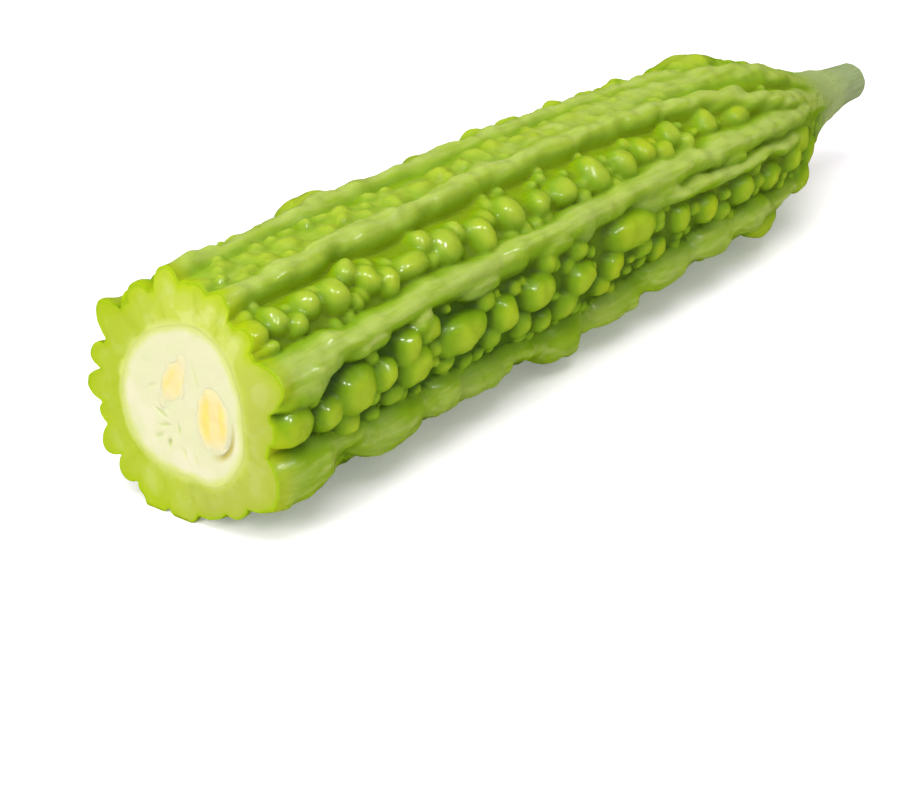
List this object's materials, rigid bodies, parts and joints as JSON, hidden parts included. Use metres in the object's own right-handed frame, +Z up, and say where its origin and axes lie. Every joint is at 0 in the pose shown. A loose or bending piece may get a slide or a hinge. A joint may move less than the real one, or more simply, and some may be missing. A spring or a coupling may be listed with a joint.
{
  "type": "bitter gourd",
  "caption": "Long ridged and warty green gourd lying on its side, cut across at one end to show a white core with seeds, with a short stem at the other.",
  "frame": {"origin": "middle of the footprint, on the surface that the gourd rests on", "axes": "+X from the cut face towards the stem, +Z up"},
  "size_m": [0.2696, 0.054, 0.0515],
  "materials": {
    "skin": "waxy green skin with a soft gloss, paler on the ridges",
    "pith": "moist spongy white core",
    "seed": "cut cream yellow seed",
    "stem": "dull grey green stalk"
  },
  "bodies": {
    "root": {"flesh": "skin", "pith": "pith", "seed_upper": "seed", "seed_lower": "seed", "stem": "stem"}
  },
  "joints": []
}
